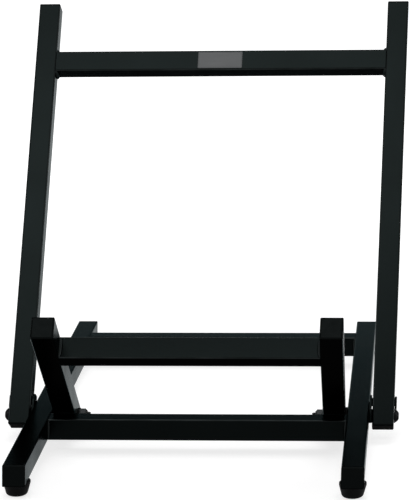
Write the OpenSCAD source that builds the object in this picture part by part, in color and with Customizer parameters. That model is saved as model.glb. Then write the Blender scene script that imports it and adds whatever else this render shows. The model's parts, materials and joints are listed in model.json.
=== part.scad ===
// Folding amplifier stand: three welded frames of square steel tube that share one bolt
// on each side. The base frame lies on four rubber feet, the back frame leans between
// stop brackets and folds forward, and the seat frame rests on the front crossbar and
// folds back between the floor rails. The front of the stand faces -Y.

/* [Tube] */
// Width and height of the square steel tube
tube = 25; // [22:1:28]
// Wall thickness of the tube
tube_wall = 1.5; // [1.2:0.1:2.5]
// Outer corner radius of the tube
corner_r = 2; // [1:0.25:3]

/* [Base frame] */
// Width over the outer faces of the two floor rails
base_w = 389; // [330:1:450]
// Length of a floor rail ahead of the pivot
rail_front = 234.5; // [180:0.5:280]
// Length of a floor rail behind the pivot
rail_rear = 392; // [350:1:450]
// Distance from the pivot back to the middle of the rear crossbar
rear_bar_y = 322.5; // [300:0.5:330]

/* [Seat frame] */
// Angle of the seat arms above the floor
seat_angle = 36.6; // [30:0.1:45]
// Length of a seat arm ahead of the pivot
arm_len = 264.5; // [230:0.5:275]
// Length of a seat arm past the pivot
arm_tail = 12; // [10:0.5:14]
// Distance along the arms from the pivot to the middle of the seat crossbar
seat_bar_s = 198; // [150:1:220]
// Thickness of the plastic spacer between a floor rail and a seat arm
spacer_t = 2.4; // [1:0.1:4]

/* [Back frame] */
// Lean of the back frame from upright
back_lean = 28.4; // [20:0.1:35]
// Length of an upright above the pivot
upright_len = 503; // [420:1:560]
// Length of an upright below the pivot
upright_tail = 11.5; // [10:0.5:13]
// Distance from the uprights' upper ends down to the middle of the top crossbar
back_bar_drop = 71.5; // [40:0.5:120]
// Thickness of the thin friction washer beside an upright
slip_washer_t = 0.9; // [0.5:0.1:2]

/* [Stop brackets] */
// Plate thickness of the stop brackets
bracket_t = 2.5; // [2:0.1:3.5]
// Height of a bracket above the pivot, along the upright
bracket_top = 24; // [22:0.5:34]
// Depth of a bracket's inner flange below the pivot, along the upright
bracket_low = 8; // [6:0.5:10]
// Start of the bracket's web and lip above the pivot, along the upright
web_low = 14.5; // [14:0.5:17]
// Outside radius of the bracket's bends
bend_r = 3.8; // [3.8:0.1:5]
// Margin between the edge of the inner flange and the edge of the upright
flange_margin = 2; // [1:0.5:3]
// Corner radius of the bracket's inner flange
flange_corner_r = 9; // [3:0.5:9]
// Corner radius of the bracket's outer lip
lip_corner_r = 2.5; // [1:0.5:4]
// Gap between the outer lip and the washer under the bolt head
lip_clear = 1.5; // [0.5:0.5:3]

/* [Pivot bolts] */
// Thread diameter of the pivot bolts
bolt_d = 8; // [6:0.5:10]
// Diameter of the domed bolt head
head_d = 14; // [13:0.5:16]
// Height of the domed bolt head
head_h = 4.4; // [3:0.1:6]
// Height of the straight rim under the dome
head_rim = 0.8; // [0.4:0.1:1.2]
// Width across the flats of the key socket in the bolt head
socket_af = 5; // [4:0.5:6]
// Depth of the key socket in the bolt head
socket_depth = 2.6; // [1.5:0.1:2.8]
// Outside diameter of the steel washers
washer_d = 16; // [15:0.5:18]
// Thickness of the steel washers
washer_t = 1.6; // [1:0.1:2.2]
// Outside diameter of the plastic spacers beside the seat arms
spacer_d = 20; // [16:1:23]
// Outside diameter of the friction washers beside the uprights
slip_washer_d = 16; // [14:0.5:18]
// Width across the flats of the lock nuts
nut_af = 13; // [12:0.5:15]
// Height of the hexagonal part of a lock nut
nut_hex_h = 6.5; // [4:0.1:8]
// Height of the round collar on a lock nut
nut_collar_h = 1.3; // [0.8:0.1:3]
// Diameter of the round collar on a lock nut
nut_collar_d = 11.5; // [10.5:0.1:12]
// Thread that stands out past the lock nut
thread_out = 3.8; // [1:0.1:6]

/* [End caps] */
// Thickness of an end cap's flange
cap_t = 2.5; // [2.4:0.1:4]
// Rounding of an end cap's outer edges
cap_edge_r = 2; // [0.6:0.1:2.2]
// Length of an end cap's plug inside the tube
plug_len = 11; // [8:0.5:14]
// Wall thickness of an end cap's plug
plug_wall = 1.6; // [1.2:0.1:2.5]
// Number of gripping ribs round an end cap's plug
rib_count = 3; // [2:1:4]
// Width of a gripping rib
rib_w = 1.2; // [0.8:0.1:1.6]
// Height of a gripping rib
rib_h = 0.6; // [0.3:0.1:0.9]
// Gap between a tail cap's plug and the bolt
tail_plug_gap = 3; // [2:0.5:4]

/* [Rubber feet] */
// Height of a rubber foot
foot_h = 16; // [10:0.5:25]
// Radius of a rubber foot where it meets the rail
foot_top_r = 14.9; // [13.5:0.1:18]
// Height of the straight rim around the top of a foot
foot_rim_h = 2.5; // [1:0.5:4]
// Radius of a rubber foot at the foot of its taper
foot_sole_r = 12.3; // [11:0.1:13.4]
// Rounding around the sole
foot_edge_r = 4.5; // [0.5:0.1:4.8]
// Distance from a rail's end to the middle of its foot
foot_inset = 23.5; // [19:0.5:40]
// Thread diameter of the screws that hold the feet
foot_screw_d = 4.8; // [4:0.1:6]
// Diameter of the foot screws' heads
foot_screw_head_d = 9; // [8:0.1:10]
// Height of the foot screws' heads
foot_screw_head_h = 3; // [2:0.1:4]
// Length of the cross slot in a foot screw's head
slot_len = 5.4; // [3:0.1:6]
// Width of the cross slot
slot_w = 1; // [0.6:0.1:1.4]
// Depth of the cross slot
slot_depth = 1.5; // [0.8:0.1:1.8]
// Gap around a foot screw's head in its pocket
pocket_clear = 0.5; // [0.2:0.1:0.8]
// Thickness of rubber that a foot screw clamps
foot_grip = 8; // [5:0.5:8.5]

/* [Name plate] */
// Width of the blank plate on the top crossbar
plate_w = 53; // [30:1:80]
// Height of the blank plate
plate_h = 20.5; // [12:0.5:21]
// Thickness of the blank plate
plate_t = 0.6; // [0.4:0.1:1.5]
// Corner radius of the blank plate
plate_corner_r = 1.5; // [0.5:0.5:3]

/* [Clearances] */
// Radial clearance of the bolts in their holes
bore_clear = 0.05; // [0.02:0.01:0.1]
// Side play at each face that turns on the bolts
side_play = 0.1; // [0.05:0.05:0.3]
// Gap at the faces that stop the frames
stop_gap = 0.2; // [0.1:0.05:0.5]
// Clearance of the plugs inside the tubes
plug_clear = 0.1; // [0.05:0.05:0.3]

/* [Hidden] */
$fn = 64;

// How far a cut runs past the face it opens
over = 1;

// Colours
coat = "#1f2224";
cap_black = "#141516";
rubber = "#0e0f10";
nylon = "#101112";
bolt_black = "#26282a";
zinc = "#3e4042";
plate_grey = "#6f7375";

half = tube / 2;
inner_r = max(corner_r - tube_wall, 0.4);
bore_d = bolt_d + 2 * bore_clear;

// Place of the shared pivot. The rails stand on the feet and the bolt crosses their middle;
// the stand's base is centred front to back on the origin
pivot_y = -(rail_rear - rail_front) / 2;
pivot_z = foot_h + half;

// Faces across the stand, from the rails inward to the seat arms and outward to the uprights
rail_out = base_w / 2;
rail_x = rail_out - half;
rail_in = rail_out - tube;
arm_out = rail_in - spacer_t - side_play;
arm_x = arm_out - half;
arm_in = arm_out - tube;
flange_out = rail_out + bracket_t;
upright_in = flange_out + slip_washer_t + side_play;
upright_x = upright_in + half;
upright_out = upright_in + tube;

// Bolt stack: the head bears on the upright, the nut on the seat arm
head_seat = upright_out + side_play + washer_t;
nut_seat = arm_in - side_play - washer_t;
nut_h = nut_hex_h + nut_collar_h;
bolt_len = head_seat - nut_seat + nut_h + thread_out;

// Depth of a bracket's two legs, from the middle of the upright back to the bends
leg_front = stop_gap + bracket_t;
leg_rear = half + leg_front - bend_r;

// Distance along the uprights from the pivot to the middle of the top crossbar
back_bar_s = upright_len - back_bar_drop;

// The front crossbar lies ahead of the pivot where the underside of the seat arms comes to
// rest on its upper rear edge
front_bar_y = corner_r - half
    - (half + corner_r + stop_gap + (half - corner_r) * cos(seat_angle)) / sin(seat_angle);

// Feet stand the same distance in from each end of the rails
foot_front_y = foot_inset - rail_front;
foot_rear_y = rail_rear - foot_inset;

// Outline of a foot: its side tapers in a straight line from the rim, and runs smoothly into
// the sole's rounding
sole_flat_r = foot_sole_r - foot_edge_r;
foot_rise = [foot_top_r - sole_flat_r, foot_h - foot_rim_h - foot_edge_r];
foot_touch = atan2(foot_rise[1], foot_rise[0]) - acos(foot_edge_r / norm(foot_rise));

// ---------- Placing ----------

// The floor under the pivot
module under_pivot() {
    translate([0, pivot_y, 0]) children();
}

// Each frame's tubes run along +Z, with the pivot at the origin
module along_base() {
    translate([0, pivot_y, pivot_z]) rotate([90, 0, 0]) children();
}

module along_seat() {
    translate([0, pivot_y, pivot_z]) rotate([90 - seat_angle, 0, 0]) children();
}

module along_back() {
    translate([0, pivot_y, pivot_z]) rotate([-back_lean, 0, 0]) children();
}

// The pivot axis runs along +Z, outward on the right-hand side
module along_pivot() {
    translate([0, pivot_y, pivot_z]) rotate([0, 90, 0]) children();
}

// The left-hand pieces mirror the right-hand ones
module left_side() {
    mirror([1, 0, 0]) children();
}

// ---------- Shapes ----------

// Outline with round corners, centred on the origin
module rounded_rect(w, h, r) {
    square([w, h - 2 * r], center = true);
    square([w - 2 * r, h], center = true);
    for (sx = [-1, 1], sy = [-1, 1]) {
        translate([sx * (w / 2 - r), sy * (h / 2 - r)]) circle(r);
    }
}

module rounded_square(size, r) {
    rounded_rect(size, size, r);
}

// Square tube along +Z
module box_tube(length) {
    linear_extrude(length) {
        difference() {
            rounded_square(tube, corner_r);
            rounded_square(tube - 2 * tube_wall, inner_r);
        }
    }
}

// Square tube across the stand, between two inner faces
module cross_tube(inner_x) {
    translate([-inner_x, 0, 0]) rotate([0, 90, 0]) box_tube(2 * inner_x);
}

// Tube that runs from -low to +high and is drilled for the pivot bolt
module pivoted_tube(low, high) {
    difference() {
        translate([0, 0, -low]) box_tube(low + high);
        rotate([0, 90, 0]) cylinder(d = bore_d, h = tube + 2 * over, center = true);
    }
}

// Outline of a cap's flange from the side, with its two outer edges rounded
module flange_profile() {
    translate([-half, 0]) square([tube, cap_t - cap_edge_r]);
    translate([-half + cap_edge_r, 0]) square([tube - 2 * cap_edge_r, cap_t]);
    for (sx = [-1, 1]) {
        translate([sx * (half - cap_edge_r), cap_t - cap_edge_r]) circle(cap_edge_r);
    }
}

// Flange of a cap: the tube's own outline with softened outer edges, from z = 0 upward
module cap_flange() {
    intersection() {
        linear_extrude(cap_t) rounded_square(tube, corner_r);
        rotate([90, 0, 0]) linear_extrude(tube + 2 * over, center = true) flange_profile();
        rotate([90, 0, 90]) linear_extrude(tube + 2 * over, center = true) flange_profile();
    }
}

// Plastic end cap whose flange sits on a tube end at z = 0, with a hollow ribbed plug below
module end_cap() {
    bore = tube - 2 * tube_wall;
    grip = bore - 2 * plug_clear;
    core = grip - 2 * rib_h;
    cap_flange();
    difference() {
        union() {
            translate([0, 0, -plug_len]) linear_extrude(plug_len + cap_t / 2) {
                rounded_square(core, inner_r);
            }
            for (k = [1:rib_count]) {
                translate([0, 0, -k * plug_len / rib_count]) linear_extrude(rib_w) {
                    rounded_square(grip, inner_r);
                }
            }
        }
        translate([0, 0, -plug_len - over]) linear_extrude(plug_len) {
            rounded_square(core - 2 * plug_wall, inner_r);
        }
    }
}

// Ring from z = 0 upward
module ring(d, t) {
    difference() {
        cylinder(d = d, h = t);
        translate([0, 0, -over]) cylinder(d = bore_d, h = t + 2 * over);
    }
}

// ---------- Base frame ----------

module floor_rail() {
    color(coat) translate([rail_x, 0, 0]) difference() {
        along_base() pivoted_tube(rail_rear, rail_front);
        under_pivot() for (y = [foot_front_y, foot_rear_y]) {
            translate([0, y, foot_h - over]) {
                cylinder(d = foot_screw_d + 2 * bore_clear, h = tube_wall + 2 * over);
            }
        }
    }
}

module base_crossbar(y) {
    color(coat) along_base() translate([0, 0, -y]) cross_tube(rail_in);
}

module rail_front_cap() {
    color(cap_black) translate([rail_x, 0, 0]) along_base() {
        translate([0, 0, rail_front]) end_cap();
    }
}

module rail_rear_cap() {
    color(cap_black) translate([rail_x, 0, 0]) along_base() {
        translate([0, 0, -rail_rear]) mirror([0, 0, 1]) end_cap();
    }
}

// Tapered rubber foot, with a pocket in its sole for the screw's head
module rubber_foot(y) {
    color(rubber) under_pivot() translate([rail_x, y, 0]) difference() {
        rotate_extrude() {
            polygon([
                [0, 0], [sole_flat_r, 0],
                [
                    sole_flat_r + foot_edge_r * cos(foot_touch),
                    foot_edge_r + foot_edge_r * sin(foot_touch)
                ],
                [foot_top_r, foot_h - foot_rim_h], [foot_top_r, foot_h], [0, foot_h]
            ]);
            translate([sole_flat_r, foot_edge_r]) circle(foot_edge_r);
        }
        translate([0, 0, -over]) {
            cylinder(d = foot_screw_head_d + 2 * pocket_clear, h = foot_h - foot_grip + over);
            cylinder(d = foot_screw_d + 2 * bore_clear, h = foot_h + 2 * over);
        }
    }
}

// Cross-slotted screw, up through a foot and into the bottom wall of a rail
module foot_screw() {
    shank = foot_grip + tube_wall + foot_screw_d;
    translate([0, 0, foot_h - foot_grip - foot_screw_head_h]) {
        difference() {
            cylinder(d = foot_screw_head_d, h = foot_screw_head_h);
            for (a = [0, 90]) {
                rotate([0, 0, a]) {
                    cube([slot_len, slot_w, 2 * slot_depth], center = true);
                }
            }
        }
        translate([0, 0, slot_depth]) {
            cylinder(d = foot_screw_d, h = foot_screw_head_h - slot_depth + shank);
        }
    }
}

module foot_screws() {
    color(zinc) under_pivot() for (sx = [-1, 1], y = [foot_front_y, foot_rear_y]) {
        translate([sx * rail_x, y, 0]) foot_screw();
    }
}

// ---------- Stop brackets ----------

// Outline of a bent plate open toward -Y, from x_low to x_high and out to y_high
module u_outline(x_low, x_high, y_high, depth, r) {
    translate([x_low + r, y_high - depth]) square([x_high - x_low - 2 * r, depth]);
    translate([x_low, y_high - depth]) square([x_high - x_low, depth - r]);
    for (x = [x_low + r, x_high - r]) {
        translate([x, y_high - r]) circle(r);
    }
}

// Section of the bracket, which reaches from the rail round the back of an upright
module bracket_section() {
    x_high = upright_out + stop_gap + bracket_t;
    inside_y = half + stop_gap;
    depth = 2 * bend_r;
    difference() {
        u_outline(rail_out, x_high, inside_y + bracket_t, depth, bend_r);
        u_outline(flange_out, x_high - bracket_t, inside_y, depth, bend_r - bracket_t);
    }
    translate([rail_out, leg_front]) square([bracket_t, leg_rear - leg_front]);
}

// Inner flange: a plate with round ends that lies against the rail and takes the bolt
module bracket_flange() {
    length = bracket_top + bracket_low;
    width = tube - 2 * flange_margin;
    rotate([0, 90, 0]) linear_extrude(bracket_t) difference() {
        translate([bracket_low - length / 2, 0]) rounded_rect(length, width, flange_corner_r);
        circle(d = bore_d);
    }
}

// Outer lip: runs down from the web beside the upright and ends short of the head washer
module bracket_lip() {
    low = washer_d / 2 + lip_clear;
    height = bracket_top - low;
    depth = leg_rear - leg_front;
    rotate([0, 90, 0]) linear_extrude(bracket_t) translate([-low - height / 2, leg_rear]) {
        intersection() {
            rounded_rect(height, 2 * depth, lip_corner_r);
            translate([-height / 2, -depth]) square([height, depth]);
        }
    }
}

module stop_bracket() {
    color(coat) along_back() {
        translate([0, 0, web_low]) linear_extrude(bracket_top - web_low) bracket_section();
        translate([rail_out, 0, 0]) bracket_flange();
        translate([upright_out + stop_gap, 0, 0]) bracket_lip();
    }
}

// ---------- Pivot hardware ----------

// Bolt along +Z with its domed head on top, and the underside of the head at z = 0
module pivot_bolt_shape() {
    dome_h = head_h - head_rim;
    dome_r = (dome_h * dome_h + head_d * head_d / 4) / (2 * dome_h);
    difference() {
        union() {
            translate([0, 0, -bolt_len]) cylinder(d = bolt_d, h = bolt_len + head_h / 2);
            intersection() {
                cylinder(d = head_d, h = head_h);
                translate([0, 0, head_h - dome_r]) sphere(dome_r);
            }
        }
        translate([0, 0, head_h - socket_depth]) {
            cylinder(d = socket_af / cos(30), h = socket_depth + over, $fn = 6);
        }
    }
}

module pivot_bolt() {
    color(bolt_black) along_pivot() translate([0, 0, head_seat]) pivot_bolt_shape();
}

module head_washer() {
    color(bolt_black) along_pivot() translate([0, 0, head_seat - washer_t]) {
        ring(washer_d, washer_t);
    }
}

module slip_washer() {
    color(nylon) along_pivot() translate([0, 0, flange_out]) {
        ring(slip_washer_d, slip_washer_t);
    }
}

module arm_spacer() {
    color(nylon) along_pivot() translate([0, 0, rail_in - spacer_t]) {
        ring(spacer_d, spacer_t);
    }
}

module nut_washer() {
    color(zinc) along_pivot() translate([0, 0, nut_seat]) ring(washer_d, washer_t);
}

// Lock nut: a hexagon on the washer side and a round collar that faces inward
module lock_nut() {
    color(zinc) along_pivot() translate([0, 0, nut_seat - nut_h]) difference() {
        union() {
            translate([0, 0, nut_collar_h]) {
                cylinder(d = nut_af / cos(30), h = nut_hex_h, $fn = 6);
            }
            cylinder(d = nut_collar_d, h = nut_h);
        }
        translate([0, 0, -over]) cylinder(d = bore_d, h = nut_h + 2 * over);
    }
}

// ---------- Seat frame ----------

module seat_arm() {
    color(coat) translate([arm_x, 0, 0]) along_seat() pivoted_tube(arm_tail, arm_len);
}

module seat_crossbar() {
    color(coat) along_seat() translate([0, 0, seat_bar_s]) cross_tube(arm_in);
}

module arm_front_cap() {
    color(cap_black) translate([arm_x, 0, 0]) along_seat() {
        translate([0, 0, arm_len]) end_cap();
    }
}

// Cap on the short tail of a tube: its plug is a plain block that stops short of the bolt
module tail_cap(tail) {
    plug = tail - bolt_d / 2 - tail_plug_gap;
    mirror([0, 0, 1]) {
        cap_flange();
        translate([0, 0, -plug]) linear_extrude(plug + cap_t / 2) {
            rounded_square(tube - 2 * (tube_wall + plug_clear), inner_r);
        }
    }
}

module arm_tail_cap() {
    color(cap_black) translate([arm_x, 0, 0]) along_seat() {
        translate([0, 0, -arm_tail]) tail_cap(arm_tail);
    }
}

// ---------- Back frame ----------

module back_upright() {
    color(coat) translate([upright_x, 0, 0]) along_back() {
        pivoted_tube(upright_tail, upright_len);
    }
}

module back_crossbar() {
    color(coat) along_back() translate([0, 0, back_bar_s]) cross_tube(upright_in);
}

module upright_top_cap() {
    color(cap_black) translate([upright_x, 0, 0]) along_back() {
        translate([0, 0, upright_len]) end_cap();
    }
}

module upright_bottom_cap() {
    color(cap_black) translate([upright_x, 0, 0]) along_back() {
        translate([0, 0, -upright_tail]) tail_cap(upright_tail);
    }
}

// Blank plate with round corners on the front of the top crossbar
module name_plate() {
    color(plate_grey) along_back() translate([0, -half, back_bar_s]) {
        rotate([90, 0, 0]) linear_extrude(plate_t) rounded_rect(plate_w, plate_h, plate_corner_r);
    }
}

// ---------- Parts ----------

left_side() floor_rail();  // floor_rail_left
floor_rail();  // floor_rail_right
base_crossbar(front_bar_y);  // base_front_crossbar
base_crossbar(rear_bar_y);  // base_rear_crossbar
left_side() rail_front_cap();  // rail_front_cap_left
rail_front_cap();  // rail_front_cap_right
left_side() rail_rear_cap();  // rail_rear_cap_left
rail_rear_cap();  // rail_rear_cap_right
left_side() rubber_foot(foot_front_y);  // foot_front_left
rubber_foot(foot_front_y);  // foot_front_right
left_side() rubber_foot(foot_rear_y);  // foot_rear_left
rubber_foot(foot_rear_y);  // foot_rear_right
foot_screws();
left_side() stop_bracket();  // stop_bracket_left
stop_bracket();  // stop_bracket_right
left_side() pivot_bolt();  // pivot_bolt_left
pivot_bolt();  // pivot_bolt_right
left_side() head_washer();  // head_washer_left
head_washer();  // head_washer_right
left_side() slip_washer();  // slip_washer_left
slip_washer();  // slip_washer_right
left_side() arm_spacer();  // arm_spacer_left
arm_spacer();  // arm_spacer_right
left_side() nut_washer();  // nut_washer_left
nut_washer();  // nut_washer_right
left_side() lock_nut();  // lock_nut_left
lock_nut();  // lock_nut_right
left_side() seat_arm();  // seat_arm_left
seat_arm();  // seat_arm_right
seat_crossbar();
left_side() arm_front_cap();  // arm_front_cap_left
arm_front_cap();  // arm_front_cap_right
left_side() arm_tail_cap();  // arm_tail_cap_left
arm_tail_cap();  // arm_tail_cap_right
left_side() back_upright();  // back_upright_left
back_upright();  // back_upright_right
back_crossbar();
left_side() upright_top_cap();  // upright_top_cap_left
upright_top_cap();  // upright_top_cap_right
left_side() upright_bottom_cap();  // upright_bottom_cap_left
upright_bottom_cap();  // upright_bottom_cap_right
name_plate();
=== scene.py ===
"""Looks and studio of a folding amplifier stand: three welded frames of square steel tube
that turn on one bolt at each side."""

import json
import logging
import math
from dataclasses import dataclass, field
from enum import Enum
from typing import Iterable, Sequence

import bmesh
import bpy
from mathutils import Matrix, Vector


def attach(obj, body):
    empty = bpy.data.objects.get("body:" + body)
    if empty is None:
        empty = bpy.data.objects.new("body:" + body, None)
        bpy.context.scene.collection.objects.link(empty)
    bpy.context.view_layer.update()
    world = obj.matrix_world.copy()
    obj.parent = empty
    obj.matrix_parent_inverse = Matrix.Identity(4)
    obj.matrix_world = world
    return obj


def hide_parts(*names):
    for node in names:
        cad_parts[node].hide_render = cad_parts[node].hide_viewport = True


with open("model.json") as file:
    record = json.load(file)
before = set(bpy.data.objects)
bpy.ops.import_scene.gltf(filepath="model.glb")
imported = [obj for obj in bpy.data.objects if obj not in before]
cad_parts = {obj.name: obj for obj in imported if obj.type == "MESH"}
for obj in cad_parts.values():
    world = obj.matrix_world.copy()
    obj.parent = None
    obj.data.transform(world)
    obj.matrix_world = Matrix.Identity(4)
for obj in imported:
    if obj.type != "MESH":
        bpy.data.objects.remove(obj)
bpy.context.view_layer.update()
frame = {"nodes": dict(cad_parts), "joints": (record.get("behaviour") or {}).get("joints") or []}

log = logging.getLogger("amp_stand")

MM = 0.001
FINE = 96
COARSE = 48

Point = tuple[float, float]
Colour = tuple[float, float, float]
Socket = bpy.types.NodeSocket
Shape = bmesh.types.BMesh
Material = bpy.types.Material
Mesh = bpy.types.Mesh


class Body(Enum):
    """The three frames that move against each other."""

    BASE = "base_frame"
    SEAT = "seat_frame"
    BACK = "back_frame"


class Slot(Enum):
    """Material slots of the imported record."""

    COAT = "frame_coat"
    CAP = "cap_plastic"
    RUBBER = "foot_rubber"
    BOLT = "black_bolt"
    ZINC = "zinc_steel"
    NYLON = "washer_plastic"
    PLATE = "plate_grey"


class Side(Enum):
    """Left and right side of the stand, as a factor on X."""

    LEFT = -1
    RIGHT = 1

    @property
    def tag(self) -> str:
        """Ending of a piece's name on this side."""
        return self.name.lower()


# ---------- Node trees ----------


class Tree:
    """A node tree, with short ways to add nodes to it."""

    def __init__(self, tree: bpy.types.NodeTree) -> None:
        """Takes over a node tree."""
        self.tree = tree

    def give(self, socket: Socket, value: object) -> None:
        """Links an output to a socket, or sets a constant on it.

        Args:
            socket: Receives the value.
            value: An output or a constant.
        """
        if isinstance(value, Socket):
            self.tree.links.new(value, socket)
        else:
            socket.default_value = value

    def node(
        self, kind: str, *values: object, choice: tuple[str, str] | None = None, **named: object
    ) -> bpy.types.Node:
        """Adds a node and fills its inputs.

        Args:
            kind: Type of the node.
            values: Its first inputs in use, in order.
            choice: An option of the node, and its setting.
            named: Inputs by name, with _ for a space.

        Returns:
            The new node.
        """
        node = self.tree.nodes.new(kind)
        if choice:
            setattr(node, *choice)
        used = [socket for socket in node.inputs if socket.enabled]
        names = {socket.name.replace(" ", "_"): socket for socket in used}
        for socket, value in zip(used, values):
            self.give(socket, value)
        for name, value in named.items():
            self.give(names[name], value)
        return node

    def add(self, kind: str, *values: object, **named: object) -> Socket:
        """Adds a node in the same way, and gives back its first output in use."""
        node = self.node(kind, *values, **named)
        return next(socket for socket in node.outputs if socket.enabled)

    def maths(self, operation: str, *values: Socket | float) -> Socket:
        """Result of a maths node on outputs or numbers."""
        return self.add("ShaderNodeMath", *values, choice=("operation", operation))

    def spread(
        self, value: Socket, low: float, high: float, start: float = 0.3, end: float = 0.7
    ) -> Socket:
        """Maps a value from start..end to low..high, and holds it there."""
        return self.add("ShaderNodeMapRange", value, start, end, low, high)

    def seen(self) -> Socket:
        """Finds the rays that see the plain white.

        Returns:
            The value output, 1 for camera, glossy and transmission rays and 0 for the others.
        """
        path = self.node("ShaderNodeLightPath").outputs
        direct = self.maths("MAXIMUM", path["Is Camera Ray"], path["Is Glossy Ray"])
        return self.maths("MAXIMUM", direct, path["Is Transmission Ray"])


class Shader(Tree):
    """Material with a Principled surface."""

    def __init__(self, name: str, colour: Colour, roughness: float) -> None:
        """Starts the material.

        Args:
            name: Name of the material.
            colour: Base colour.
            roughness: Roughness of the bare surface.
        """
        self.material = bpy.data.materials.new(name)
        self.material.use_nodes = True
        super().__init__(self.material.node_tree)
        self.surface = self.tree.nodes["Principled BSDF"]
        self.set("Base Color", (*colour, 1.0))
        self.set("Roughness", roughness)
        self.coordinates = self.node("ShaderNodeTexCoord").outputs["Object"]

    def set(self, socket: str, value: object) -> None:
        """Sets a constant on the surface's own socket, or links an output to it."""
        self.give(self.surface.inputs[socket], value)

    def metal(self, gloss: float, edge: Colour) -> None:
        """Sets the metallic share, and the tint of its reflection at grazing angles."""
        self.set("Metallic", gloss)
        self.set("Specular Tint", (*edge, 1.0))

    def roughen(self, value: Socket, middle: float, less: float, more: float) -> None:
        """Lets the roughness follow a value, from less below the middle to more above it."""
        self.set("Roughness", self.spread(value, middle - less, middle + more))

    def stretched(self, *scale: float) -> Socket:
        """Object coordinates, scaled along each axis."""
        return self.add("ShaderNodeMapping", self.coordinates, Scale=scale)

    def noise(self, size: float, detail: float = 3.0, source: Socket | None = None) -> Socket:
        """Noise of a size in metres, with finer layers, on Object or other coordinates."""
        place = source or self.coordinates
        return self.add("ShaderNodeTexNoise", place, Scale=1.0 / size, Detail=detail)

    def cells(self, size: float) -> Socket:
        """Smooth cells of the given size in metres, as a value that is 0 in their middles."""
        smooth = ("feature", "SMOOTH_F1")
        return self.add("ShaderNodeTexVoronoi", self.coordinates, choice=smooth, Scale=1.0 / size)

    def blend(self, value: Socket, first: Colour | Socket, second: Colour) -> Socket:
        """Colour between two colours: the first at 0, the second at 1."""
        start = first if isinstance(first, Socket) else (*first, 1.0)
        return self.add("ShaderNodeMix", value, start, (*second, 1.0), choice=("data_type", "RGBA"))

    def corners(self, lean: float, middle: float = 0.86, flat: float = 0.995) -> Socket:
        """Finds the rounded corners of square tubes by the direction in which the surface faces.

        Args:
            lean: Angle about X between the tubes' sides and the object's axes, in radians.
            middle: Largest part of the normal along a tube's side in the middle of a corner.
            flat: The same where the flat side starts.

        Returns:
            The value output, 0 on the flat sides and 1 in the middle of a corner.
        """
        normal = self.coordinates.node.outputs["Normal"]
        about_x = ("rotation_type", "X_AXIS")
        turned = self.add("ShaderNodeVectorRotate", normal, choice=about_x, Angle=lean)
        sides = self.add("ShaderNodeVectorMath", turned, choice=("operation", "ABSOLUTE"))
        split = self.node("ShaderNodeSeparateXYZ", sides).outputs
        square = self.maths("MAXIMUM", self.maths("MAXIMUM", split["X"], split["Y"]), split["Z"])
        return self.spread(square, 1.0, 0.0, middle, flat)

    def bump(self, height: Socket, depth: float, strength: float = 0.5) -> None:
        """Lays bumps over the surface's earlier ones.

        Args:
            height: Height value.
            depth: Depth in metres.
            strength: Share of the bumps that shows.
        """
        earlier = {"Normal": link.from_socket for link in self.surface.inputs["Normal"].links}
        bumps = self.add("ShaderNodeBump", strength, depth, Height=height, **earlier)
        self.set("Normal", bumps)


class GeometryTree(Tree):
    """Geometry Nodes tree with named inputs, which runs on a mesh."""

    def __init__(self, name: str, source: str, result: str, **inputs: str) -> None:
        """Starts the tree.

        Args:
            name: Name of the tree.
            source: Name of the geometry that goes in.
            result: Name of the geometry that comes out.
            inputs: Type of each other input, by its name with _ for a space.
        """
        super().__init__(bpy.data.node_groups.new(name, "GeometryNodeTree"))
        face = self.tree.interface
        for label, kind in {source: "Geometry", **inputs}.items():
            label = label.replace("_", " ")
            face.new_socket(label, in_out="INPUT", socket_type=f"NodeSocket{kind}")
        face.new_socket(result, in_out="OUTPUT", socket_type="NodeSocketGeometry")
        self.given = self.node("NodeGroupInput").outputs

    def end(self, geometry: Socket) -> None:
        """Makes the instances real, gives them the input named Finish, and ends the tree.

        Args:
            geometry: The result, with its instances.
        """
        whole = self.add("GeometryNodeRealizeInstances", geometry)
        dressed = self.add("GeometryNodeSetMaterial", whole, Material=self.given["Finish"])
        self.node("NodeGroupOutput", dressed)

    def run(self, source: Mesh, name: str, **values: object) -> Mesh:
        """Runs the tree on a mesh.

        Args:
            source: Mesh that goes in.
            name: Name of the result.
            values: Value of each input, by its name with _ for a space.

        Returns:
            The result as a plain mesh.
        """
        holder = new_object(name + "_path", source)
        modifier = holder.modifiers.new("nodes", "NODES")
        modifier.node_group = self.tree
        for item in self.tree.interface.items_tree:
            label = item.name.replace(" ", "_")
            if label in values:
                modifier[item.identifier] = values[label]
        holder.update_tag()
        bpy.context.view_layer.update()
        shaped = holder.evaluated_get(bpy.context.evaluated_depsgraph_get())
        mesh = bpy.data.meshes.new_from_object(shaped)
        mesh.name = name
        holder.modifiers.remove(modifier)
        bpy.data.objects.remove(holder)
        return mesh


# ---------- Finishes ----------


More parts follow.
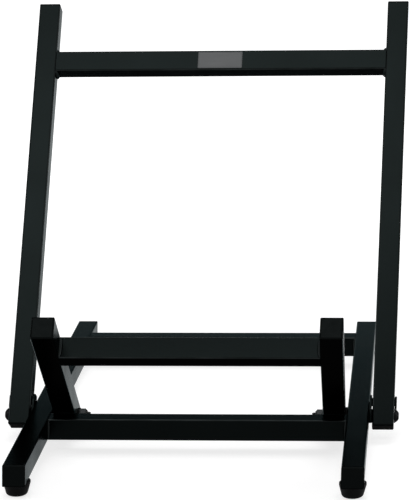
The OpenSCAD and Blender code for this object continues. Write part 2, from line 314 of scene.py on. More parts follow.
@dataclass(frozen=True)
class PowderCoat:
    """Satin black powder coat with its fine orange peel, a little cloudiness in its sheen, and
    paler lines over the corners of a tube: partly where the coat thins there, and partly a painted
    highlight that stands in for the light the rounded edges catch."""

    name: str = "satin_powder_coat"
    lean: float | None = None
    colour: Colour = (0.0023, 0.0031, 0.0031)
    cloudy: Colour = (0.0032, 0.0042, 0.0041)
    # Colour of the corners, where the coat thins, with a painted highlight along the edges.
    thin: Colour = (0.015, 0.0175, 0.0175)
    gloss: float = 0.992
    edge: Colour = (0.34, 0.37, 0.375)
    roughness: float = 0.24
    vary: float = 0.03
    cloud: float = 60 * MM
    patch: float = 22 * MM
    least_thin: float = 0.45
    swell: float = 9 * MM
    swell_depth: float = 0.05 * MM
    peel: float = 0.9 * MM
    peel_depth: float = 0.012 * MM

    def material(self) -> Material:
        """Builds the material; lean is the angle of the frame's tubes, or None for no paler corners
        (no thinning and no painted edge highlight).

        Returns:
            The new material.
        """
        shader = Shader(self.name, self.colour, self.roughness)
        shader.metal(self.gloss, self.edge)
        clouds = shader.noise(self.cloud, detail=4.0)
        colour = shader.blend(clouds, self.colour, self.cloudy)
        # Paler corners: the coat thinning over them, and a painted highlight along the rounded
        # edges.
        if self.lean is not None:
            uneven = shader.spread(shader.noise(self.patch), self.least_thin, 1.0)
            share = shader.maths("MULTIPLY", shader.corners(self.lean), uneven)
            colour = shader.blend(share, colour, self.thin)
        shader.set("Base Color", colour)
        shader.roughen(clouds, self.roughness, self.vary, self.vary)
        shader.bump(shader.noise(self.swell, detail=1.0), self.swell_depth, strength=0.25)
        shader.bump(shader.cells(self.peel), self.peel_depth, strength=0.6)
        return shader.material


@dataclass(frozen=True)
class MouldedPlastic:
    """Black moulded polyethylene with a fine spark-eroded grain."""

    name: str = "moulded_cap_plastic"
    colour: Colour = (0.0028, 0.0034, 0.0034)
    roughness: float = 0.34
    vary: float = 0.06
    flow: float = 8 * MM
    grain: float = 0.35 * MM
    grain_depth: float = 0.02 * MM
    gloss: float = 0.985
    edge: Colour = (0.10,) * 3

    def material(self) -> Material:
        """Builds the material.

        Returns:
            The new material.
        """
        shader = Shader(self.name, self.colour, self.roughness)
        shader.metal(self.gloss, self.edge)
        shader.roughen(shader.noise(self.flow), self.roughness, self.vary, self.vary)
        shader.bump(shader.noise(self.grain, detail=2.0), self.grain_depth)
        return shader.material


@dataclass(frozen=True)
class FootRubber:
    """Dull black rubber with a slight bloom and a faint dust on the sole."""

    colour: Colour = (0.0022, 0.0023, 0.0024)
    dusty: Colour = (0.008, 0.008, 0.0078)
    dust_height: float = 3 * MM
    most_dust: float = 0.55
    speck: float = 1.6 * MM
    bloom: float = 5 * MM
    roughness: float = 0.62
    vary: float = 0.08
    grain: float = 0.5 * MM
    grain_depth: float = 0.03 * MM

    def material(self) -> Material:
        """Builds the material.

        Returns:
            The new material.
        """
        shader = Shader("moulded_foot_rubber", self.colour, self.roughness)
        shader.set("Specular IOR Level", 0.05)
        height = shader.node("ShaderNodeSeparateXYZ", shader.coordinates).outputs["Z"]
        low = shader.spread(height, self.most_dust, 0.0, start=0.0, end=self.dust_height)
        specks = shader.noise(self.speck, detail=6.0)
        specks = shader.spread(specks, low=0.15, high=1.0, start=0.45, end=0.62)
        dust = shader.maths("MULTIPLY", low, specks)
        shader.set("Base Color", shader.blend(dust, self.colour, self.dusty))
        shader.roughen(shader.noise(self.bloom), self.roughness, self.vary, self.vary)
        shader.bump(shader.noise(self.grain), self.grain_depth)
        return shader.material


@dataclass(frozen=True)
class BlackOxide:
    """Oiled black oxide on turned steel."""

    colour: Colour = (0.005, 0.0053, 0.0057)
    light: Colour = (0.011, 0.0113, 0.012)
    stain: float = 1.5 * MM
    roughness: float = 0.32
    gloss: float = 0.95
    edge: Colour = (0.20,) * 3
    groove: float = 0.25 * MM
    groove_depth: float = 0.006 * MM

    def material(self) -> Material:
        """Builds the material.

        Returns:
            The new material.
        """
        shader = Shader("black_oxide_steel", self.colour, self.roughness)
        shader.metal(self.gloss, self.edge)
        stains = shader.noise(self.stain, detail=4.0)
        shader.set("Base Color", shader.blend(stains, self.colour, self.light))
        turned = shader.noise(self.groove, detail=2.0, source=shader.stretched(1.0, 0.2, 0.2))
        shader.roughen(turned, self.roughness, less=0.07, more=0.10)
        shader.bump(turned, self.groove_depth)
        return shader.material


@dataclass(frozen=True)
class BlackZinc:
    """Black-passivated zinc plate with an uneven, slightly blue sheen."""

    colour: Colour = (0.008, 0.0086, 0.009)
    pale: Colour = (0.024, 0.0255, 0.0255)
    spot: float = 2.2 * MM
    roughness: float = 0.28
    gloss: float = 1.0
    edge: Colour = (0.15,) * 3
    crystal: float = 0.3 * MM
    crystal_depth: float = 0.008 * MM

    def material(self) -> Material:
        """Builds the material.

        Returns:
            The new material.
        """
        shader = Shader("black_zinc_plate", self.colour, self.roughness)
        shader.metal(self.gloss, self.edge)
        spots = shader.noise(self.spot, detail=5.0)
        shader.set("Base Color", shader.blend(spots, self.colour, self.pale))
        shader.roughen(spots, self.roughness, less=0.06, more=0.10)
        shader.bump(shader.noise(self.crystal), self.crystal_depth, strength=0.4)
        return shader.material


@dataclass(frozen=True)
class BrushedPlate:
    """Dull grey anodised sheet, brushed along its length."""

    colour: Colour = (0.036, 0.0385, 0.040)
    light: Colour = (0.057, 0.0595, 0.061)
    gloss: float = 0.35
    roughness: float = 0.45
    vary: float = 0.08
    stroke: float = 0.35 * MM
    stroke_depth: float = 0.01 * MM

    def material(self) -> Material:
        """Builds the material.

        Returns:
            The new material.
        """
        shader = Shader("brushed_anodised_plate", self.colour, self.roughness)
        shader.set("Metallic", self.gloss)
        brushed = shader.noise(self.stroke, source=shader.stretched(0.02, 1.0, 1.0))
        shader.set("Base Color", shader.blend(brushed, self.colour, self.light))
        shader.roughen(brushed, self.roughness, self.vary, self.vary)
        shader.bump(brushed, self.stroke_depth)
        return shader.material


class Palette:
    """One material for each slot of the stand, and a coat for the tubes of each frame."""

    def __init__(self, leans: dict[Body, float]) -> None:
        """Builds the materials.

        Args:
            leans: Angle about X between each frame's tubes and the stand's axes, in radians.
        """
        finishes = {
            Slot.COAT: PowderCoat(),
            Slot.CAP: MouldedPlastic(),
            Slot.RUBBER: FootRubber(),
            Slot.BOLT: BlackOxide(),
            Slot.ZINC: BlackZinc(),
            Slot.NYLON: MouldedPlastic("washer_nylon", (0.0042,) * 3, 0.5, grain=0.5 * MM),
            Slot.PLATE: BrushedPlate(),
        }
        self.by_slot = {slot: finish.material() for slot, finish in finishes.items()}
        self.tubes = {
            body: PowderCoat(f"{body.value}_powder_coat", lean).material()
            for body, lean in leans.items()
        }


# ---------- Meshes ----------


def new_object(name: str, data: bpy.types.ID | None) -> bpy.types.Object:
    """Makes an object and puts it in the scene.

    Args:
        name: Name of the object.
        data: Its data, or None for an empty.

    Returns:
        The new object.
    """
    thing = bpy.data.objects.new(name, data)
    bpy.context.scene.collection.objects.link(thing)
    return thing


def dress_node(name: str, material: Material) -> None:
    """Gives a CAD node a new material.

    Args:
        name: Name of the node.
        material: Material for all its slots.
    """
    piece = frame["nodes"][name]
    if not piece.material_slots:
        piece.data.materials.append(material)
    for slot in piece.material_slots:
        slot.material = material
    log.info("%s: %s", name, material.name)


def finish_piece(
    name: str, mesh: Mesh, body: Body, replaces: Sequence[str] = ()
) -> None:
    """Makes a mesh a piece of the stand.

    Args:
        name: Name of the piece.
        mesh: Its mesh, in place and with its materials.
        body: Body that it rides on.
        replaces: CAD nodes that it stands for.
    """
    piece = new_object(name, mesh)
    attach(piece, body.value)
    if replaces:
        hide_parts(*replaces)
    log.info("%s: %d faces on %s", name, len(mesh.polygons), body.value)


def mesh_of(bm: Shape, name: str, material: Material, sharp: float = 30.0) -> Mesh:
    """Turns a bmesh into a mesh with outward faces and smooth shading.

    Args:
        bm: The shape; it is freed.
        name: Name of the mesh.
        material: Its material.
        sharp: Angle in degrees above which an edge stays sharp.

    Returns:
        The mesh.
    """
    bmesh.ops.remove_doubles(bm, verts=bm.verts, dist=1e-7)
    bmesh.ops.recalc_face_normals(bm, faces=bm.faces)
    limit = math.radians(sharp)
    for face in bm.faces:
        face.smooth = True
    for edge in bm.edges:
        edge.smooth = len(edge.link_faces) == 2 and edge.calc_face_angle(0.0) < limit
    mesh = bpy.data.meshes.new(name)
    bm.to_mesh(mesh)
    bm.free()
    mesh.materials.append(material)
    return mesh


def skin(bm: Shape, place: Matrix, rings: Iterable[Sequence[Vector]], capped: bool = False) -> None:
    """Joins closed rings of points with faces.

    Args:
        bm: Receives the shape.
        place: Where the rings' own axes go.
        rings: The rings in order, with the same number of points, or with one point for a tip.
        capped: Whether a face closes the first and the last ring.
    """
    made = [[bm.verts.new(place @ spot) for spot in ring] for ring in rings]
    for low, high in zip(made, made[1:]):
        steps = max(len(low), len(high))
        for k in range(steps):
            n = (k + 1) % steps
            corners = low[k % len(low)], low[n % len(low)], high[n % len(high)], high[k % len(high)]
            bm.faces.new(list(dict.fromkeys(corners)))
    if capped:
        bm.faces.new(made[0])
        bm.faces.new(made[-1])


def angles(steps: int) -> list[float]:
    """Angles of equal steps round a circle."""
    return [math.tau * k / steps for k in range(steps)]


def polar(radius: float, height: float, angle: float) -> Vector:
    """Point at a radius, a height and an angle about the Z axis."""
    return Vector((radius * math.cos(angle), radius * math.sin(angle), height))


def round_rings(outline: Iterable[Point], steps: int = FINE) -> list[list[Vector]]:
    """Rings of a turned shape, at each radius and height; a radius of 0 makes a tip."""
    spots = [(*point, angles(steps if point[0] else 1)) for point in outline]
    return [[polar(radius, height, turn) for turn in turns] for radius, height, turns in spots]


def hexagon(across: float, height: float, slope: float = 0.0, start: float = 0.0) -> list[Vector]:
    """Ring of points on a hexagon.

    Args:
        across: Width across the flats.
        height: Height of the ring.
        slope: Rise of the ring for each metre beyond the radius where it starts to rise.
        start: That radius.

    Returns:
        The ring's points.
    """
    ring = []
    for angle in angles(FINE):
        reach = across / 2 / math.cos(angle % (math.pi / 3) - math.pi / 6)
        ring.append(polar(reach, height + slope * max(0.0, reach - start), angle))
    return ring


def arc(centre: Point, radius: float, start: float, end: float, steps: int) -> list[Point]:
    """Points on an arc.

    Args:
        centre: Its centre.
        radius: Its radius.
        start: First angle in degrees.
        end: Last angle in degrees.
        steps: Number of steps.

    Returns:
        The points from start to end.
    """
    turns = [math.radians(start + (end - start) * k / steps) for k in range(steps + 1)]
    x, y = centre
    return [(x + radius * math.cos(turn), y + radius * math.sin(turn)) for turn in turns]


def ring_outline(inner: float, outer: float, height: float, edge: float) -> list[Point]:
    """Closed outline of a flat ring with rounded edges.

    Args:
        inner: Radius of the hole.
        outer: Outer radius.
        height: Thickness.
        edge: Rounding of the four edges.

    Returns:
        The outline's points, ending where it starts.
    """
    right, left, top = outer - edge, inner + edge, height - edge
    points: list[Point] = []
    for quarter, centre in enumerate(((right, edge), (right, top), (left, top), (left, edge))):
        start = 90.0 * (quarter - 1)
        points += arc(centre, edge, start, start + 90.0, steps=4)
    return points + points[:1]


# ---------- Sizes ----------


@dataclass
class Layout:
    """The stand's main sizes in metres, as in the CAD source, and where its frames stand."""

    tube: float = 25.0 * MM
    corner: float = 2.0 * MM
    pivot: Vector = field(init=False)
    back_lean: float = math.radians(28.4)
    seat_angle: float = math.radians(36.6)
    rail_x: float = 182.0 * MM
    arm_x: float = 154.5 * MM
    upright_x: float = 210.5 * MM
    front_bar: float = 49.3 * MM
    rear_bar: float = -322.5 * MM
    seat_bar: float = 198.0 * MM
    back_bar: float = 431.5 * MM

    def __post_init__(self) -> None:
        """Reads the pivot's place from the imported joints."""
        self.pivot = Vector(frame["joints"][0]["pos_m"])

    @property
    def half(self) -> float:
        """Half the tube's width."""
        return self.tube / 2

    @property
    def leans(self) -> dict[Body, float]:
        """Angle about X between each frame's tubes and the stand's axes."""
        return {Body.BASE: 0.0, Body.SEAT: self.seat_angle, Body.BACK: self.back_lean}

    def _turned(self, turn: float, axis: str = "X") -> Matrix:
        """A place at the pivot, turned about an axis."""
        return Matrix.Translation(self.pivot) @ Matrix.Rotation(turn, 4, axis)

    @property
    def places(self) -> dict[Body, Matrix]:
        """Finds where each frame stands.

        Returns:
            Each frame's place; +Z runs along its tubes, to the front or up.
        """
        front = math.pi / 2
        turns = (front, front - self.seat_angle, -self.back_lean)
        return {body: self._turned(turn) for body, turn in zip(Body, turns)}

    def across(self, side: Side, start: float) -> Matrix:
        """Place on the pivot's axis, start from the stand's middle; +Z runs outward there."""
        return self._turned(side.value * math.pi / 2, "Y") @ Matrix.Translation((0, 0, start))


@dataclass
class Assembly:
    """A sub-assembly of the stand, with the main sizes and the finishes."""

    layout: Layout
    palette: Palette

    def stand_in(self, node: str, ending: str, bm: Shape, slot: Slot, sharp: float = 30.0) -> None:
        """Makes a shape the piece that stands for a CAD node of the base frame.

        Args:
            node: Name of the CAD node.
            ending: Ending of the piece's name.
            bm: The shape; it is freed.
            slot: Slot of its finish.
            sharp: Angle in degrees above which an edge stays sharp.
        """
        name = f"{node}_{ending}"
        mesh = mesh_of(bm, name, self.palette.by_slot[slot], sharp)
        finish_piece(name, mesh, Body.BASE, [node])


# ---------- Welds ----------


class WeldTree(GeometryTree):
    """Lays a rippled weld bead along each edge of a path."""

    blunt = 0.22
    least = 0.25
    sides = 14

    def __init__(self) -> None:
        """Builds the tree."""
        super().__init__(
            "weld_bead", "Path", "Bead", Bead_Radius="Float", Ripple_Pitch="Float",
            Ripple_Depth="Float", Step="Float", Finish="Material",
        )
        given = self.given
        path = self.add("GeometryNodeMeshToCurve", given["Path"])
        steps = ("mode", "LENGTH")
        path = self.add("GeometryNodeResampleCurve", path, choice=steps, Length=given["Step"])
        along = self.node("GeometryNodeSplineParameter").outputs
        turns = self.maths("DIVIDE", along["Length"], given["Ripple Pitch"])
        wave = self.maths("SINE", self.maths("MULTIPLY", turns, math.tau))
        ripple = self.maths("MULTIPLY", wave, given["Ripple Depth"])
        arch = self.maths("SINE", self.maths("MULTIPLY", along["Factor"], math.pi))
        taper = self.maths("MAXIMUM", self.maths("POWER", arch, self.blunt), self.least)
        full = self.maths("MULTIPLY", given["Bead Radius"], self.maths("ADD", ripple, 1.0))
        width = self.maths("MULTIPLY", full, taper)
        ring = self.add("GeometryNodeCurvePrimitiveCircle", Resolution=self.sides, Radius=1.0)
        bead = self.add("GeometryNodeCurveToMesh", path, ring, Scale=width, Fill_Caps=True)
        self.end(self.add("GeometryNodeSetShadeSmooth", bead))


@dataclass
class Welds(Assembly):
    """Weld beads between the tubes, one piece for each frame."""

    base_r: float = 3.0 * MM
    seat_r: float = 3.8 * MM
    back_r: float = 3.8 * MM
    pitch: float = 2.6 * MM
    depth: float = 0.05
    step: float = 0.4 * MM
    sink: float = 0.3 * MM

    def build(self) -> None:
        """Lays the beads of each frame."""
        lay = self.layout
        rows = (
            (Body.BASE, lay.rail_x, (lay.front_bar, lay.rear_bar), self.base_r),
            (Body.SEAT, lay.arm_x, (lay.seat_bar,), self.seat_r),
            (Body.BACK, lay.upright_x, (lay.back_bar,), self.back_r),
        )
        tree = WeldTree()
        for body, tube_x, bars, radius in rows:
            name = f"{body.name.lower()}_welds"
            points = [lay.places[body] @ point for point in self.points(tube_x, bars)]
            path = bpy.data.meshes.new(name + "_path")
            path.from_pydata(points, [(k, k + 1) for k in range(0, len(points), 2)], [])
            # The beads take their frame's coat, so its paler corner colour covers their curved
            # flanks: a painted highlight on the welds.
            mesh = tree.run(
                path, name, Bead_Radius=radius, Ripple_Pitch=self.pitch,
                Ripple_Depth=self.depth, Step=self.step, Finish=self.palette.tubes[body],
            )
            finish_piece(name, mesh, body)

    def points(self, tube_x: float, bars: Iterable[float]) -> list[Vector]:
        """Start and end of each bead, on a frame's own axes.

        Args:
            tube_x: Distance of the frame's long tubes from the middle of the stand.
            bars: Place of each crossbar along those tubes.

        Returns:
            The points, two for each bead.
        """
        half = self.layout.half
        run = half - self.layout.corner / 2
        x = tube_x - half + self.sink
        return [
            Vector((side.value * x, y, bar + face))
            for side in Side for bar in bars for face in (-half, half) for y in (-run, run)
        ]


# ---------- Pivot hardware ----------


@dataclass
class PivotHardware(Assembly):
    """Bolt, washers, spacer and lock nut on each side."""

    bolt_r: float = 4.0 * MM
    head_r: float = 7.0 * MM
    head_h: float = 4.4 * MM
    head_rim: float = 0.8 * MM
    head_hole: float = 3.0 * MM
    head_seat: float = 224.7 * MM
    edge: float = 0.3 * MM
    socket_af: float = 5.0 * MM
    socket_depth: float = 2.6 * MM
    socket_lip: float = 0.35 * MM
    socket_lead: float = 0.25 * MM
    socket_drill: float = 0.5 * MM
    washer_r: float = 8.0 * MM
    washer_t: float = 1.6 * MM
    washer_edge: float = 0.28 * MM
    slip_r: float = 8.0 * MM
    slip_t: float = 0.9 * MM
    slip_x: float = 197.0 * MM
    spacer_r: float = 10.0 * MM
    spacer_t: float = 2.4 * MM
    spacer_x: float = 167.1 * MM
    nut_af: float = 13.0 * MM
    nut_hex: float = 6.5 * MM
    nut_bevel: float = math.radians(30)
    nut_flat: float = 0.985
    collar_h: float = 1.3 * MM
    collar_r: float = 5.75 * MM
    collar_steps: tuple[Point, ...] = (
        (0.5, 1.3), (0.0, 1.1), (0.0, 0.8), (-0.18, 0.25), (-0.6, 0.0), (-1.1, 0.0), (-1.15, 0.35)
    )
    insert_h: float = 0.4 * MM
    nut_seat: float = 140.3 * MM
    thread_out: float = 3.8 * MM
    thread_more: float = 6.0 * MM
    thread_pitch: float = 1.25 * MM
    thread_depth: float = 0.61
    thread_foot: float = 0.2 * MM
    thread_short: float = 1.2
    thread_fade: tuple[float, float] = (0.8, 0.5)
    thread_least: float = 0.02
    thread_steps: int = 36
    thread_ridge: tuple[float, float] = (0.46, 0.07)
    bore_r: float = 4.05 * MM

    def build(self) -> None:
        """Builds the pieces of both sides."""
        outer = self.head_seat - self.washer_t
        rings = (
            ("head_washer", outer, self.washer_r, self.washer_t, Slot.BOLT),
            ("nut_washer", self.nut_seat, self.washer_r, self.washer_t, Slot.ZINC),
            ("slip_washer", self.slip_x, self.slip_r, self.slip_t, Slot.NYLON),
            ("arm_spacer", self.spacer_x, self.spacer_r, self.spacer_t, Slot.NYLON),
        )
        for side in Side:
            self.bolt(side)
            for name, start, *rest in rings:
                self.ring(f"{name}_{side.tag}", self.layout.across(side, start), *rest)
            self.nut(side)

    def ring(self, node: str, place: Matrix, radius: float, height: float, slot: Slot) -> None:
        """Replaces a ring's CAD node with one that has rounded edges.

        Args:
            node: Name of the CAD node.
            place: Place of its inner face.
            radius: Outer radius.
            height: Thickness.
            slot: Its material slot.
        """
        bm = bmesh.new()
        edge = min(self.washer_edge, height / 3)
        skin(bm, place, round_rings(ring_outline(self.bore_r, radius, height, edge)))
        self.stand_in(node, "turned", bm, slot)

    def bolt(self, side: Side) -> None:
        """Builds a bolt: domed head with a key socket, plain shank and a threaded end.

        Args:
            side: Side of the stand.
        """
        beyond = self.nut_hex + self.collar_h + self.thread_out
        length = self.head_seat - self.nut_seat + beyond
        threaded = beyond + self.thread_more
        root = self.bolt_r - self.thread_depth * self.thread_pitch
        head = self.layout.across(side, self.head_seat)
        tip = self.layout.across(side, self.head_seat - length)
        plain = [(0.0, 0.0), (self.bolt_r, 0.0), (self.bolt_r, threaded - length),
                 (0.0, threaded - length)]
        core = [(0.0, 0.0), (root - self.edge, 0.0), (root, self.edge), (root, threaded),
                (0.0, threaded)]
        bm = bmesh.new()
        skin(bm, head, self._head())
        skin(bm, head, round_rings(plain, COARSE))
        skin(bm, tip, round_rings(core, COARSE))
        skin(bm, tip, self._thread(root, threaded), capped=True)
        self.stand_in(f"pivot_bolt_{side.tag}", "detailed", bm, Slot.BOLT)

    def _head(self) -> list[list[Vector]]:
        """Shapes the head: rim, dome, edge round the key socket, its flats and drilled floor.

        Returns:
            The rings' points.
        """
        rise = self.head_h - self.head_rim
        dome = (rise * rise + self.head_r * self.head_r) / (2 * rise)
        lip_r = self.socket_af / math.sqrt(3) + self.socket_lip
        low = math.degrees(math.acos(self.head_r / dome))
        high = math.degrees(math.acos(lip_r / dome))
        outline = [(self.head_hole, 0.0), (self.head_r - self.edge, 0.0), (self.head_r, self.edge)]
        outline += arc((0.0, self.head_h - dome), dome, low, high, steps=14)
        floor = self.head_h - self.socket_depth
        lead = outline[-1][1] - self.socket_lead
        flats = [hexagon(self.socket_af, height) for height in (lead, floor)]
        return round_rings(outline) + flats + round_rings([(0.0, floor - self.socket_drill)])

    def _thread(self, root: float, length: float) -> list[list[Vector]]:
        """Sections of the thread's ridge, wound from the bolt's tip along +Z.

        Args:
            root: Radius at the foot of the thread.
            length: Length of the thread.

        Returns:
            The sections' points.
        """
        steps, pitch = self.thread_steps, self.thread_pitch
        total = int((length / pitch - self.thread_short) * steps)
        foot = root - self.thread_foot
        start, end = self.thread_fade
        wide, narrow = self.thread_ridge
        sections = []
        for k in range(total + 1):
            fade = min(1.0, k / steps / start, (total - k) / steps / end)
            crest = root + (self.bolt_r - root) * max(fade, self.thread_least)
            height = (0.5 + k / steps) * pitch
            profile = ((foot, -wide), (crest, -narrow), (crest, narrow), (foot, wide))
            sections.append([
                polar(radius, height + rise * pitch, math.tau * k / steps)
                for radius, rise in profile
            ])
        return sections

    def nut(self, side: Side) -> None:
        """Replaces a lock nut: chamfered hexagon, round collar and the insert ring inside it.

        Args:
            side: Side of the stand.
        """
        low, high = self.collar_h, self.collar_h + self.nut_hex
        start = self.nut_af / 2 * self.nut_flat
        slope = math.tan(self.nut_bevel)
        collar = [(self.collar_r + out * MM, height * MM) for out, height in self.collar_steps]
        rings = round_rings([(self.bore_r, high), (start, high)])
        rings.append(hexagon(self.nut_af, high, -slope, start))
        rings.append(hexagon(self.nut_af, low, slope, start))
        rings += round_rings([(start, low), *collar, (self.bore_r, self.insert_h)])
        bm = bmesh.new()
        skin(bm, self.layout.across(side, self.nut_seat - high), rings + rings[:1])
        self.stand_in(f"lock_nut_{side.tag}", "detailed", bm, Slot.ZINC, sharp=25.0)


# ---------- Feet ----------


class ScrewTree(GeometryTree):
    """Sets a screw on each point, turned at random."""

    seed = 7

    def __init__(self) -> None:
        """Builds the tree."""
        super().__init__(
            "screw_set", "Places", "Screws", Screw="Object", Turn_Range="Float", Finish="Material"
        )
        given = self.given
        screw = self.node("GeometryNodeObjectInfo", given["Screw"]).outputs["Geometry"]
        turn = self.add(
            "FunctionNodeRandomValue", choice=("data_type", "FLOAT"), Max=given["Turn Range"],
            Seed=self.seed,
        )
        turns = self.add("ShaderNodeCombineXYZ", Z=turn)
        places = given["Places"]
        self.end(self.add("GeometryNodeInstanceOnPoints", places, Instance=screw, Rotation=turns))


@dataclass
class Feet(Assembly):
    """Four rubber feet with their screws."""

    height: float = 16.0 * MM
    rim_h: float = 2.5 * MM
    rim_edge: float = 0.35 * MM
    rim_step: tuple[float, float] = (0.15 * MM, 0.3 * MM)
    top_r: float = 14.9 * MM
    sole_r: float = 12.3 * MM
    edge_r: float = 4.5 * MM
    pocket_r: float = 5.0 * MM
    pocket_edge: float = 0.4 * MM
    pocket_lip: float = 0.5 * MM
    screw_r: float = 2.4 * MM
    screw_out: float = 5.0 * MM
    screw_point: float = 1.3 * MM
    head_r: float = 4.5 * MM
    head_h: float = 3.0 * MM
    cross: float = 0.6
    cross_depth: float = 1.3 * MM
    cross_lead: float = 0.1 * MM
    head_dome: tuple[Point, ...] = (
        (0.12, 0.0), (0.3, 0.02), (0.5, 0.07), (0.7, 0.18), (0.88, 0.38), (1.0, 0.75), (1.0, 1.0)
    )
    grip: float = 8.0 * MM
    foot_y: float = 289.75 * MM

    def build(self) -> None:
        """Builds the feet and the screws."""
        for end, y in (("front", -self.foot_y), ("rear", self.foot_y)):
            for side in Side:
                bm = bmesh.new()
                place = Matrix.Translation((side.value * self.layout.rail_x, y, 0))
                skin(bm, place, round_rings(self.outline()))
                self.stand_in(f"foot_{end}_{side.tag}", "moulded", bm, Slot.RUBBER)
        self.screws()

    def outline(self) -> list[Point]:
        """Shapes a foot: rim with softened edges, straight taper, rounded sole and pocket.

        Returns:
            The closed outline's points.
        """
        sole = self.sole_r - self.edge_r
        low = self.height - self.rim_h
        across, rise = self.top_r - sole, low - self.edge_r
        touch = math.atan2(rise, across) - math.acos(self.edge_r / math.hypot(across, rise))
        rim, (step_in, step_down) = self.rim_edge, self.rim_step
        pocket = self.height - self.grip
        wall, edge, lip = self.pocket_r, self.pocket_edge, self.pocket_lip
        points = [(self.screw_r, pocket), (wall - edge, pocket), (wall, pocket - edge),
                  (wall, lip), (wall + lip, 0.0)]
        points += arc((sole, self.edge_r), self.edge_r, -90.0, math.degrees(touch), steps=12)
        points += [(self.top_r - step_in, low - step_down), (self.top_r, low)]
        points += arc((self.top_r - rim, self.height - rim), rim, 0.0, 90.0, steps=4)
        points += [(self.screw_r, self.height)]
        return points + points[:1]

    def _screw(self) -> Mesh:
        """Builds one screw with its head below z = 0: domed head, cross recess and shank.

        Returns:
            The screw's mesh.
        """
        rings = [[Vector((0, 0, self.cross_depth + self.cross_lead - self.head_h))]]
        for reach, drop in self.head_dome:
            ring = []
            for angle in angles(COARSE):
                height = -self.head_h * (1 - drop)
                if reach < self.cross:
                    wing = (1 - abs(math.sin(2 * angle))) ** 0.5
                    height += self.cross_depth * (1 - reach / self.cross) * wing + self.cross_lead
                ring.append(polar(reach * self.head_r, height, angle))
            rings.append(ring)
        end = self.grip + self.screw_out
        shank = [(self.screw_r, 0.0), (self.screw_r, end), (0.0, end + self.screw_point)]
        bm = bmesh.new()
        skin(bm, Matrix.Identity(4), rings + round_rings(shank, COARSE))
        return mesh_of(bm, "foot_screw", self.palette.by_slot[Slot.ZINC], sharp=40.0)

    def screws(self) -> None:
        """Sets the same screw into each foot."""
        screw = new_object("foot_screw_pattern", self._screw())
        places = bpy.data.meshes.new("screw_places")
        places.from_pydata([
            (side.value * self.layout.rail_x, y, self.height - self.grip)
            for side in Side for y in (-self.foot_y, self.foot_y)
        ], [], [])
        mesh = ScrewTree().run(
            places, "foot_screws_detailed", Screw=screw, Turn_Range=math.tau,
            Finish=self.palette.by_slot[Slot.ZINC],
        )
        bpy.data.objects.remove(screw)
        finish_piece("foot_screws_detailed", mesh, Body.BASE, ["foot_screws"])


# ---------- Frames ----------


@dataclass
class Frames(Assembly):
    """The welded tubes, their caps and the stop brackets."""

    bracket_edge: float = 0.35 * MM
    weld_gap: float = 2e-6
    flat: float = math.radians(1.0)
    cut: float = math.radians(50)

    def build(self) -> None:
        """Dresses the tubes and caps, and softens the brackets' cut edges."""
        tubes = {
            Body.BASE: ("base_front_crossbar", "base_rear_crossbar", "floor_rail_left",
                        "floor_rail_right"),
            Body.SEAT: ("seat_crossbar", "seat_arm_left", "seat_arm_right"),
            Body.BACK: ("back_crossbar", "back_upright_left", "back_upright_right"),
        }
        caps = ("rail_front_cap", "rail_rear_cap", "arm_front_cap", "arm_tail_cap",
                "upright_top_cap", "upright_bottom_cap")
        for body, nodes in tubes.items():
            for node in nodes:
                dress_node(node, self.palette.tubes[body])
        for side in Side:
            for cap in caps:
                dress_node(f"{cap}_{side.tag}", self.palette.by_slot[Slot.CAP])
            self.bracket(f"stop_bracket_{side.tag}")

    def bracket(self, node: str) -> None:
        """Replaces a stop bracket with one whose cut edges are rounded over.

        Args:
            node: Name of the CAD node.
        """
        bm = bmesh.new()
        bm.from_mesh(frame["nodes"][node].data)
        bmesh.ops.remove_doubles(bm, verts=bm.verts, dist=self.weld_gap)
        bmesh.ops.dissolve_limit(bm, angle_limit=self.flat, verts=bm.verts, edges=bm.edges)
        edges = [
            edge for edge in bm.edges
            if len(edge.link_faces) == 2 and edge.calc_face_angle(0.0) > self.cut
        ]
        bmesh.ops.bevel(
            bm, geom=edges, offset=self.bracket_edge, segments=3, profile=0.5, affect="EDGES",
            clamp_overlap=True,
        )
        self.stand_in(node, "bent", bm, Slot.COAT, sharp=40.0)


@dataclass
class NamePlate(Assembly):
    """Blank plate on the top crossbar."""

    width: float = 53.0 * MM
    height: float = 20.5 * MM
    thickness: float = 0.6 * MM
    corner: float = 1.5 * MM
    least_corner: float = 0.3 * MM
    border: float = 0.9 * MM
    profile: tuple[Point, ...] = (
        (0.0, 0.0), (0.0, 0.75), (0.12, 1.0), (0.75, 1.0), (0.9, 0.75), (1.1, 0.75), (1.25, 1.0)
    )

    def build(self) -> None:
        """Builds the plate: rounded corners, bevelled edge and a fine groove inside it."""
        lay = self.layout
        place = lay.places[Body.BACK] @ Matrix.Translation((0, -lay.half, lay.back_bar))
        loops = [
            self._loop(inset * self.border, rise * self.thickness) for inset, rise in self.profile
        ]
        bm = bmesh.new()
        skin(bm, place @ Matrix.Rotation(math.pi / 2, 4, "X"), loops, capped=True)
        mesh = mesh_of(bm, "blank_plate", self.palette.by_slot[Slot.PLATE], sharp=20.0)
        finish_piece("blank_plate", mesh, Body.BACK, ["name_plate"])

    def _loop(self, inset: float, height: float) -> list[Vector]:
        """One loop of points round the plate.

        Args:
            inset: Distance in from the plate's edge.
            height: Height above the crossbar.

        Returns:
            The points in order.
        """
        radius = max(self.corner - inset, self.least_corner)
        wide = self.width / 2 - inset - radius
        tall = self.height / 2 - inset - radius
        corners = {0: (wide, tall), 90: (-wide, tall), 180: (-wide, -tall), 270: (wide, -tall)}
        return [
            Vector((x, y, height))
            for start, centre in corners.items()
            for x, y in arc(centre, radius, start, start + 90, steps=6)
        ]


# ---------- Studio and camera ----------


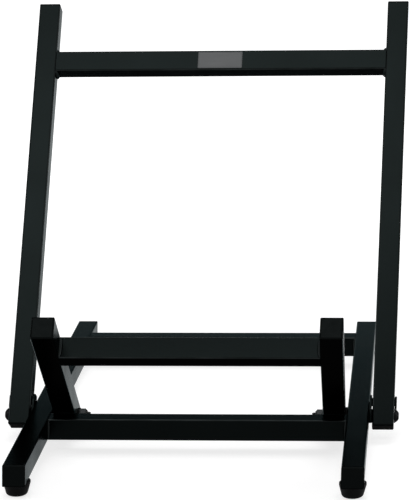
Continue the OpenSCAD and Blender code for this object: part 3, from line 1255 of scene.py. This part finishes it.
@dataclass(frozen=True)
class Lamp:
    """A soft box: its middle, what it faces, width and height, watts, and roll in degrees."""

    name: str
    place: tuple[float, float, float]
    target: tuple[float, float, float]
    size: tuple[float, float]
    watts: float
    roll: float = 0.0

    def hang(self) -> None:
        """Hangs the lamp."""
        light = bpy.data.lights.new(self.name, "AREA")
        light.shape = "RECTANGLE"
        light.size, light.size_y = self.size
        light.energy = self.watts
        lamp = new_object(self.name, light)
        lamp.location = self.place
        aim = (Vector(self.target) - Vector(self.place)).to_track_quat("-Z", "Y").to_matrix()
        turn = aim @ Matrix.Rotation(math.radians(self.roll), 3, "Z")
        lamp.rotation_euler = turn.to_euler()


@dataclass
class Studio:
    """Pale floor, soft lamps and an even surrounding light."""

    floor_size: float = 30.0
    floor_tone: float = 0.40
    floor_rough: float = 0.9
    white: float = 1.0
    surround: float = 0.42
    shadow_depth: float = 0.72
    near: float = 0.45
    far: float = 1.3
    lamps: tuple[Lamp, ...] = (
        Lamp("key", (-0.50, -3.46, 4.00), (0, 0, 0.36), (2.2, 1.3), 59.0, 18.0),
        Lamp("top", (0.1, 0.35, 2.6), (0, 0, 0), (1.6, 1.6), 24.0),
        Lamp("back", (0.8, 2.4, 1.7), (0, 0.1, 0.1), (1.8, 1.0), 8.0),
        Lamp("right", (2.6, 0.4, 0.95), (0, 0, 0.2), (2.2, 1.1), 20.0),
        Lamp("left", (-2.5, 0.4, 0.85), (0, 0, 0.2), (2.4, 1.1), 26.0),
    )

    def build(self) -> None:
        """Lays the floor, hangs the lamps and sets the world."""
        bpy.context.scene.view_settings.view_transform = "Standard"
        self.floor()
        self.world()
        for lamp in self.lamps:
            lamp.hang()

    def floor(self) -> None:
        """Lays a white floor, which glows less near the stand so that its shadow shows."""
        bm = bmesh.new()
        bmesh.ops.create_grid(bm, x_segments=8, y_segments=8, size=self.floor_size)
        mesh = bpy.data.meshes.new("studio_floor")
        bm.to_mesh(mesh)
        bm.free()
        floor = new_object("studio_floor", mesh)
        shader = Shader("studio_floor", (self.floor_tone,) * 3, self.floor_rough)
        shader.set("Specular IOR Level", 0.0)
        length = ("operation", "LENGTH")
        reach = shader.add("ShaderNodeVectorMath", shader.coordinates, choice=length)
        glow = shader.spread(reach, self.shadow_depth, self.white, self.near, self.far)
        glow = shader.add("ShaderNodeEmission", Strength=glow)
        bare = shader.surface.outputs[0]
        lit = shader.add("ShaderNodeAddShader", bare, glow)
        whole = shader.add("ShaderNodeMixShader", shader.seen(), bare, lit)
        shader.give(shader.tree.nodes["Material Output"].inputs["Surface"], whole)
        mesh.materials.append(shader.material)

    def world(self) -> None:
        """Even light all round, which camera, reflections and clear parts see as plain white."""
        world = bpy.data.worlds.new("studio")
        bpy.context.scene.world = world
        world.use_nodes = True
        tree = Tree(world.node_tree)
        background = tree.tree.nodes["Background"]
        strength = tree.spread(tree.seen(), self.surround, self.white, 0.0, 1.0)
        tree.give(background.inputs["Color"], (1.0, 1.0, 1.0, 1.0))
        tree.give(background.inputs["Strength"], strength)


@dataclass
class PhotoCamera:
    """Camera at the photograph's viewing angle."""

    place: tuple[float, float, float] = (0.231919, -2.948605, 0.867775)
    yaw: float = 0.0803554
    pitch: float = 0.2198626
    roll: float = -0.0183774
    focal_pixels: float = 2584.667
    frame_pixels: float = 500.0
    sensor: float = 36.0
    skew: float = -0.0357114
    reach: float = 100.0

    def build(self) -> None:
        """Sets up the camera; its holder carries the picture's slight skew."""
        turn = Matrix.Translation(self.place)
        for angle, axis in ((self.yaw, "Z"), (math.pi / 2 - self.pitch, "X"), (self.roll, "Z")):
            turn @= Matrix.Rotation(angle, 4, axis)
        data = bpy.data.cameras.new("photo_camera")
        data.sensor_width = self.sensor
        data.lens = self.focal_pixels / self.frame_pixels * self.sensor
        data.clip_end = self.reach
        holder = new_object("camera_holder", None)
        holder.matrix_world = turn
        camera = new_object("photo_camera", data)
        camera.parent = holder
        skew = Matrix.Identity(4)
        skew[0][1] = self.skew
        camera.matrix_parent_inverse = skew
        bpy.context.scene.camera = camera


def main() -> None:
    """Builds the stand's looks and the studio."""
    logging.basicConfig(level=logging.INFO, format="%(message)s")

    layout = Layout()
    palette = Palette(layout.leans)
    for part in (Frames, Welds, PivotHardware, Feet, NamePlate):
        part(layout, palette).build()
    Studio().build()
    PhotoCamera().build()


if __name__ == "__main__":
    main()
